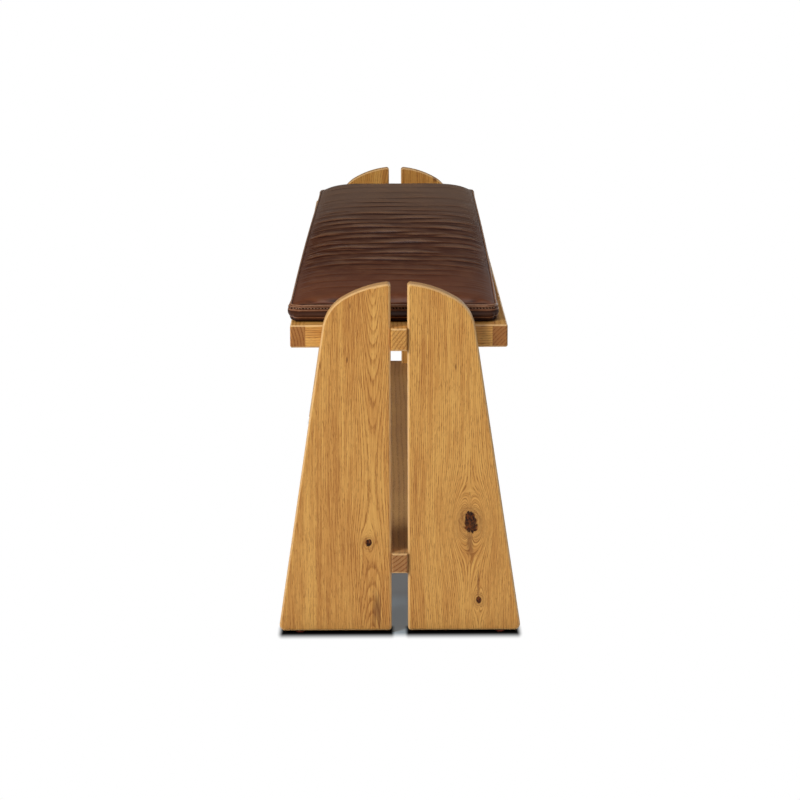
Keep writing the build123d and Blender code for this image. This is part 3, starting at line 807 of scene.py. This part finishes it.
# Where along the bench a painted grey sheen grows towards the far end and a painted lighter,
# redder sheen towards the near one, and by how much; then the shares of the other painted sheen,
# shade and highlight
FAR_SHEEN_SPAN = (-0.7, 0.15)
FAR_SHEEN_SHARE = 0.8
NEAR_SHEEN_SPAN = (0.3, 0.6)
NEAR_SHEEN_SHARE = 0.6
SHEEN_PATCH_SHARE = 0.36
# Painted shade in the fold hollows and painted highlight on the crests
HOLLOW_SHADE_STRENGTH = -0.95
RIDGE_HIGHLIGHT_STRENGTH = 0.8
# Painted shade in the seams and the lower boxing
PAINTED_SHADE_STRENGTH = -0.9


def leather():
    """Dark brown leather with a soft gloss and fine creases, a dark red painted shade in the
    hollows between its folds, and a painted highlight on their crests.
    """
    g = Graph("brown_leather")
    place = g.position()
    length = g.split(place)[0]
    fold = g.add("ShaderNodeAttribute", output=2, attribute_name="fold")
    wear_and_shade = g.add("ShaderNodeAttribute", output=2, attribute_name="wear_and_shade")
    cloud = g.noise(place, (9, 14, 14), 3)
    patch = g.noise(place, (45, 60, 60), 3)
    pebble = g.cells(place, (950, 950, 950))
    crease = g.noise(place, (420, 160, 300), 4, 0.6)
    fine = g.noise(place, (2600, 2600, 2600), 2)
    tone = g.total(g.times(cloud, 0.6), g.times(patch, 0.25), g.times(crease, 0.2), -0.02)
    wear_highlight = g.times(wear_and_shade, g.ease(crease, 0.3, 0.62, 0.5, 0.95))
    colour = g.ramp(tone, [(0.3, DARK_LEATHER), (0.55, BROWN_LEATHER), (0.8, WORN_LEATHER)])
    # Painted sheen in random greyer patches
    colour = g.mix(g.ease(patch, 0.42, 0.66, 0, SHEEN_PATCH_SHARE), colour, SHEEN_PATCH_LEATHER)
    # Painted sheen, greyer towards the far end
    colour = g.mix(g.ease(length, *FAR_SHEEN_SPAN, FAR_SHEEN_SHARE, 0), colour, FAR_SHEEN_LEATHER)
    # Painted sheen, lighter and redder towards the near end
    colour = g.mix(g.ease(length, *NEAR_SHEEN_SPAN, 0, NEAR_SHEEN_SHARE), colour, NEAR_SHEEN_LEATHER)
    # Painted shade in the hollows between the folds, and painted highlight on their crests
    colour = g.mix(g.math("MULTIPLY", fold, HOLLOW_SHADE_STRENGTH, clamp=True), colour, HOLLOW_SHADE_LEATHER)
    colour = g.mix(g.math("MULTIPLY", fold, RIDGE_HIGHLIGHT_STRENGTH, clamp=True), colour, RIDGE_HIGHLIGHT_LEATHER)
    # Painted shade in the seams' grooves, the stitched band and the lower boxing
    colour = g.mix(g.math("MULTIPLY", wear_and_shade, PAINTED_SHADE_STRENGTH, clamp=True), colour, PAINTED_SHADE_LEATHER)
    # Worn leather along the welts, with a painted highlight on them
    colour = g.mix(g.math("MAXIMUM", wear_highlight, 0.0), colour, WORN_HIGHLIGHT_LEATHER)
    height = g.total(g.times(pebble, 0.5), g.times(crease, 0.9), g.times(fine, 0.2))
    dull = g.math("MULTIPLY", wear_and_shade, -0.4, clamp=True)
    roughness = g.total(0.33, g.times(cloud, 0.16), dull)
    return g.surface(Base_Color=colour, Roughness=roughness, Specular_IOR_Level=0.3,
                     Normal=g.bump(height, 0.05 * mm, 0.6))


STITCH_PITCH = 4.7 * mm
STITCH_LENGTH = 3.3 * mm
STITCH_RADIUS = 0.75 * mm
STITCH_OUT = 0.1 * mm


def thread():
    """Tan sewing thread, made light so that the stitched band shows a painted highlight between
    its holes.
    """
    g = Graph("tan_thread_highlight")
    twist = g.noise(g.position(), (3000, 3000, 3000), 2)
    colour = g.mix(g.times(twist, 0.5), srgb(132, 98, 74), srgb(176, 138, 110))
    return g.surface(Base_Color=colour, Roughness=0.7, Normal=g.bump(twist, 0.1 * mm, 0.6))


def stitches(path):
    """A row of thread stitches in the band below the top seam, all the way round."""
    points = [place + normal * STITCH_OUT for place, normal in path]
    mesh = bmesh.new()
    travelled = 0.0
    for index, point in enumerate(points):
        after = points[(index + 1) % len(points)]
        step = after - point
        level = Vector((step.x, step.y, 0))
        length = level.length
        if length < 1e-6:
            continue
        along = level.normalized()
        out = path[index][1]
        while travelled < length:
            middle = point + along * travelled
            tilt = along + Vector((0, 0, 0.12))
            add_stitch(mesh, middle, tilt.normalized(), out)
            travelled += STITCH_PITCH
        travelled -= length
    return mesh


def add_stitch(mesh, middle, along, out):
    """One stitch: a short bead of thread whose ends dive into the leather."""
    up = along.cross(out).normalized()
    rings = []
    for step in range(5):
        share = step / 2 - 1
        centre = middle + along * (share * STITCH_LENGTH / 2) - out * (share * share * 0.45 * mm)
        radius = STITCH_RADIUS * (1 - 0.45 * share * share)
        ring = []
        for side in range(6):
            turn = side * pi / 3
            ring.append(mesh.verts.new(centre + (out * cos(turn) + up * sin(turn)) * radius))
        rings.append(ring)
    for first, second in zip(rings, rings[1:]):
        for side in range(6):
            after = (side + 1) % 6
            mesh.faces.new((first[side], first[after], second[after], second[side]))
    mesh.faces.new(list(reversed(rings[0])))
    mesh.faces.new(rings[-1])


ZIP_REACH = 118 * mm
ZIP_TAPE = [(-0.9, 471.2), (-0.2, 470.6), (0.5, 469.2), (0.9, 467.6), (0.9, 466.9), (0.2, 466.6),
            (0.2, 466.0), (0.9, 465.7), (0.9, 465.0), (0.6, 463.6), (0.1, 462.2), (-0.6, 461.6)]
ZIP_MIDDLE = 466.3 * mm
ZIP_END = 6 * mm
TOOTH_PITCH = 1.5 * mm


def end_face(y, out):
    """How far along X the far end of the cushion lies at a place across it."""
    share = y / (CUSHION_WIDTH / 2)
    return -(CUSHION_LENGTH / 2 - END_DRAW_IN * (1 - share * share) + out)


def add_block(mesh, middle, size, turn=0.0):
    """A block with a small chamfer all round, turned about its X axis."""
    spin = Matrix.Translation(middle) @ Matrix.Rotation(turn, 4, "X")
    made = bmesh.ops.create_cube(mesh, size=1.0, matrix=spin @ Matrix.Diagonal((*size, 1)))
    edges = {edge for vertex in made["verts"] for edge in vertex.link_edges}
    bmesh.ops.bevel(mesh, geom=list(edges), offset=min(size) * 0.22, segments=1,
                    affect="EDGES", profile=0.5)


def zip_tape():
    """The woven tape of the zip, let into the boxing at the far end."""
    mesh = bmesh.new()
    rows = []
    for step in range(61):
        y = ZIP_REACH * (step / 30 - 1)
        front = [mesh.verts.new((end_face(y, out * mm), y, z * mm)) for out, z in ZIP_TAPE]
        back = [mesh.verts.new((end_face(y, -2.4 * mm), y, z * mm)) for z in (461.6, 471.2)]
        rows.append(front + back)
    for first, second in zip(rows, rows[1:]):
        for index in range(len(first)):
            after = (index + 1) % len(first)
            mesh.faces.new((first[index], first[after], second[after], second[index]))
    mesh.faces.new(rows[0])
    mesh.faces.new(rows[-1])
    bmesh.ops.recalc_face_normals(mesh, faces=mesh.faces)
    g = Graph("zip_tape")
    weave = g.noise(g.position(), (300, 2600, 2600), 2)
    colour = g.mix(weave, srgb(34, 20, 13), srgb(62, 40, 28))
    g.surface(Base_Color=colour, Roughness=0.8, Normal=g.bump(weave, 0.1 * mm, 0.7))
    item = make_object("zip_tape", mesh, g.material, smooth=False)
    place_on_seat(item)
    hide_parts("cushion_zip")


def zip_metal():
    """Interlocked zip teeth, and a slider with a pull tab at one end of them."""
    mesh = bmesh.new()
    count = round(2 * (ZIP_REACH - ZIP_END) / TOOTH_PITCH)
    for index in range(count):
        y = -ZIP_REACH + ZIP_END + index * TOOTH_PITCH
        side = 0.55 * mm if index % 2 else -0.55 * mm
        place = Vector((end_face(y, 0.8 * mm), y, ZIP_MIDDLE + side))
        add_block(mesh, place, (1.3 * mm, 1.0 * mm, 2.2 * mm))
    y = ZIP_REACH - 9 * mm
    add_block(mesh, Vector((end_face(y, 1.4 * mm), y, ZIP_MIDDLE)), (2.2 * mm, 7.5 * mm, 6.2 * mm))
    bridge = Vector((end_face(y, 2.7 * mm), y, ZIP_MIDDLE))
    add_block(mesh, bridge, (1.4 * mm, 4.6 * mm, 1.8 * mm))
    tab = Vector((end_face(y, 2.6 * mm), y - 1.0 * mm, 460.8 * mm))
    add_block(mesh, tab, (0.9 * mm, 4.2 * mm, 9.5 * mm), radians(8))
    bmesh.ops.recalc_face_normals(mesh, faces=mesh.faces)
    brass = metal("zip_brass", srgb(150, 120, 70), 0.36, 0.01)
    item = make_object("zip_teeth", mesh, brass, smooth=False)
    place_on_seat(item)


def cushion():
    """The leather skin and its stitches."""
    mesh, seam_path = cushion_mesh()
    item = make_object("leather_cushion", mesh, leather())
    place_on_seat(item)
    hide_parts("cushion_top_panel", "cushion_core", "cushion_bottom_panel")
    seam = make_object("cushion_stitches", stitches(seam_path), thread())
    place_on_seat(seam)


# Floor, light and camera

FLOOR_SIZE = 60.0

# The painted shade on the floor, which the real shadow deepens: how far out it is full at the ends
# and sides, the width over which it fades, and how many times faster it does so sideways
FOOT_END = 0.743
FOOT_SIDE = 0.172
FOOT_FADE = 0.034
SIDE_HASTE = 3.464

# Where it deepens below the slabs, along and across the bench, how much further out it reaches
# there than at the gap between them, and its colour there
SLAB_SPAN = (0.705, 0.72)
SLAB_GAP = (0.006, 0.013)
SLAB_REACH = 0.005
SLAB_SHADE = (0.004, 0.004, 0.004, 1)

# Between the ends it is a strip along the middle, paler and bluer near the slabs
UNDER_WIDTH = (0.10, 0.15)
UNDER_END = (0.53, 0.625)
UNDER_STRENGTH = 0.91
UNDER_SHADE = (0.09, 0.09, 0.09, 1)
UNDER_SHADE_END = (0.29, 0.38, 0.45, 1)


def floor_shade(g):
    """How much of the floor's painted shade shows at each place, and its colour."""
    xyz = g.split(g.position())
    along = g.math("ABSOLUTE", xyz[0])
    across = g.math("ABSOLUTE", xyz[1])
    at_slabs = g.ease(along, *SLAB_SPAN)
    below_slab = g.times(at_slabs, g.ease(across, *SLAB_GAP))
    edge = g.total(FOOT_END, g.times(below_slab, SLAB_REACH))
    end = g.math("MAXIMUM", g.math("SUBTRACT", along, edge), 0.0)
    side = g.math("MAXIMUM", g.math("SUBTRACT", across, FOOT_SIDE), 0.0)
    away = g.distance(end, g.times(side, SIDE_HASTE))
    foot = g.times(g.ease(away, 0.0, FOOT_FADE, 1, 0), at_slabs)
    under = g.times(g.ease(across, *UNDER_WIDTH, 1, 0), g.ease(end, 0.0, FOOT_FADE, 1, 0))
    strength = g.total(UNDER_STRENGTH, g.times(below_slab, 1 - UNDER_STRENGTH))
    shown = g.times(g.math("MAXIMUM", under, foot), strength)
    grey = g.mix(g.ease(along, *UNDER_END), UNDER_SHADE, UNDER_SHADE_END)
    return shown, g.mix(below_slab, grey, SLAB_SHADE)


def seen_and_mirrored(g):
    """Whether a ray comes straight from the camera, and whether by way of a shiny thing."""
    path = g.tree.nodes.new("ShaderNodeLightPath").outputs
    mirrored = g.math("MAXIMUM", path["Is Glossy Ray"], path["Is Transmission Ray"])
    return path["Is Camera Ray"], mirrored


def floor():
    """A light grey floor that shows white, with a painted shade under the bench and at its feet,
    which the real shadow deepens.
    """
    g = Graph("floor_white")
    shown, grey = floor_shade(g)
    shade = g.add("ShaderNodeBsdfDiffuse", {"Color": grey})
    plain = g.add("ShaderNodeBsdfDiffuse", {"Color": (0.85, 0.85, 0.85, 1)})
    white = g.add("ShaderNodeEmission", {"Color": (1, 1, 1, 1), "Strength": 1.0})
    open_floor = g.add("ShaderNodeMixShader", {
        0: g.math("MAXIMUM", *seen_and_mirrored(g)), 1: plain, 2: white})
    mixed = g.add("ShaderNodeMixShader", {0: shown, 1: open_floor, 2: shade})
    g.add("ShaderNodeOutputMaterial", {"Surface": mixed})
    mesh = bmesh.new()
    bmesh.ops.create_grid(mesh, x_segments=2, y_segments=2, size=FLOOR_SIZE / 2)
    item = make_object("floor", mesh, g.material, smooth=False)


WORLD_STRENGTH = 0.06
MIRRORED_STRENGTH = 0.03
SWEEP_FOOT = 0.05
SWEEP_TOP = (0.1, 0.2)
SWEEP_SHARE = 0.1


def world_light():
    """An even, dim studio surround, with a white sweep behind the object that falls off upwards
    where it is mirrored."""
    world = bpy.data.worlds.new("studio")
    bpy.context.scene.world = world
    world.use_nodes = True
    g = Graph("sweep", world.node_tree)
    height = g.split(g.position("Generated"))[2]
    low_band = g.ease(height, 0.0, SWEEP_FOOT, 1, 0)
    high_band = g.ease(height, *SWEEP_TOP, SWEEP_SHARE, 0)
    seen, mirrored = seen_and_mirrored(g)
    sweep = g.math("MAXIMUM", seen, g.times(mirrored, g.total(low_band, high_band)))
    dim = g.add("ShaderNodeMapRange", {0: mirrored, 3: WORLD_STRENGTH, 4: MIRRORED_STRENGTH})
    level = g.math("MINIMUM", g.math("MAXIMUM", sweep, dim), 1.0)
    background = g.add("ShaderNodeBackground", {"Color": (1, 1, 1, 1), "Strength": level})
    g.add("ShaderNodeOutputWorld", {"Surface": background})


# Name, place, target, width and height, power, and whether glossy things mirror the lamp
LAMPS = [
    ("key_light", (3.2, -2.6, 2.4), (0.5, 0, 0.35), (1.3, 1.3), 118, False),
    ("key_sheen", (3.2, -2.6, 2.4), (0.5, 0, 0.35), (1.6, 1.6), 36, True),
    ("front_fill", (4.2, 2.4, 1.2), (0.5, 0, 0.35), (1.8, 1.8), 17, True),
    ("top_fill", (0.2, 0.3, 3.4), (0, 0, 0.4), (2.6, 1.4), 30, True),
    ("back_fill", (-3.2, 2.8, 2.0), (-0.3, 0, 0.35), (2.0, 2.0), 45, True),
]


def soft_box(name, place, target, size, power, mirrored):
    """A flat lamp that faces a target."""
    lamp = bpy.data.lights.new(name, "AREA")
    lamp.shape = "RECTANGLE"
    lamp.size, lamp.size_y = size
    lamp.energy = power
    item = bpy.data.objects.new(name, lamp)
    item.location = place
    item.rotation_euler = (Vector(target) - Vector(place)).to_track_quat("-Z", "Y").to_euler()
    item.visible_glossy = mirrored
    bpy.context.scene.collection.objects.link(item)


CAMERA_PLACE = (4.3251, -0.017, 1.0892)

# Its turns in degrees, and its lens in millimetres
CAMERA_DOWN = 11.6709
CAMERA_ASIDE = 0.2910
CAMERA_ROLL = -0.1801
CAMERA_LENS = 113.79


def camera():
    """The photograph's view, end-on from a little above."""
    down, aside, roll = radians(CAMERA_DOWN), radians(CAMERA_ASIDE), radians(CAMERA_ROLL)
    forward = Vector((-cos(aside) * cos(down), sin(aside) * cos(down), -sin(down)))
    level_right = Vector((sin(aside), cos(aside), 0))
    level_up = level_right.cross(forward)
    right = cos(roll) * level_right + sin(roll) * level_up
    up = -sin(roll) * level_right + cos(roll) * level_up
    data = bpy.data.cameras.new("camera")
    data.sensor_width = 36
    data.lens = CAMERA_LENS
    item = bpy.data.objects.new("camera", data)
    turn = Matrix((right, up, -forward)).transposed().to_4x4()
    item.matrix_world = Matrix.Translation(CAMERA_PLACE) @ turn
    bpy.context.scene.collection.objects.link(item)
    bpy.context.scene.camera = item


wooden_pieces()
small_parts()
cushion()
zip_tape()
zip_metal()
floor()
world_light()
for lamp in LAMPS:
    soft_box(*lamp)
camera()
bpy.context.scene.view_settings.view_transform = "Standard"
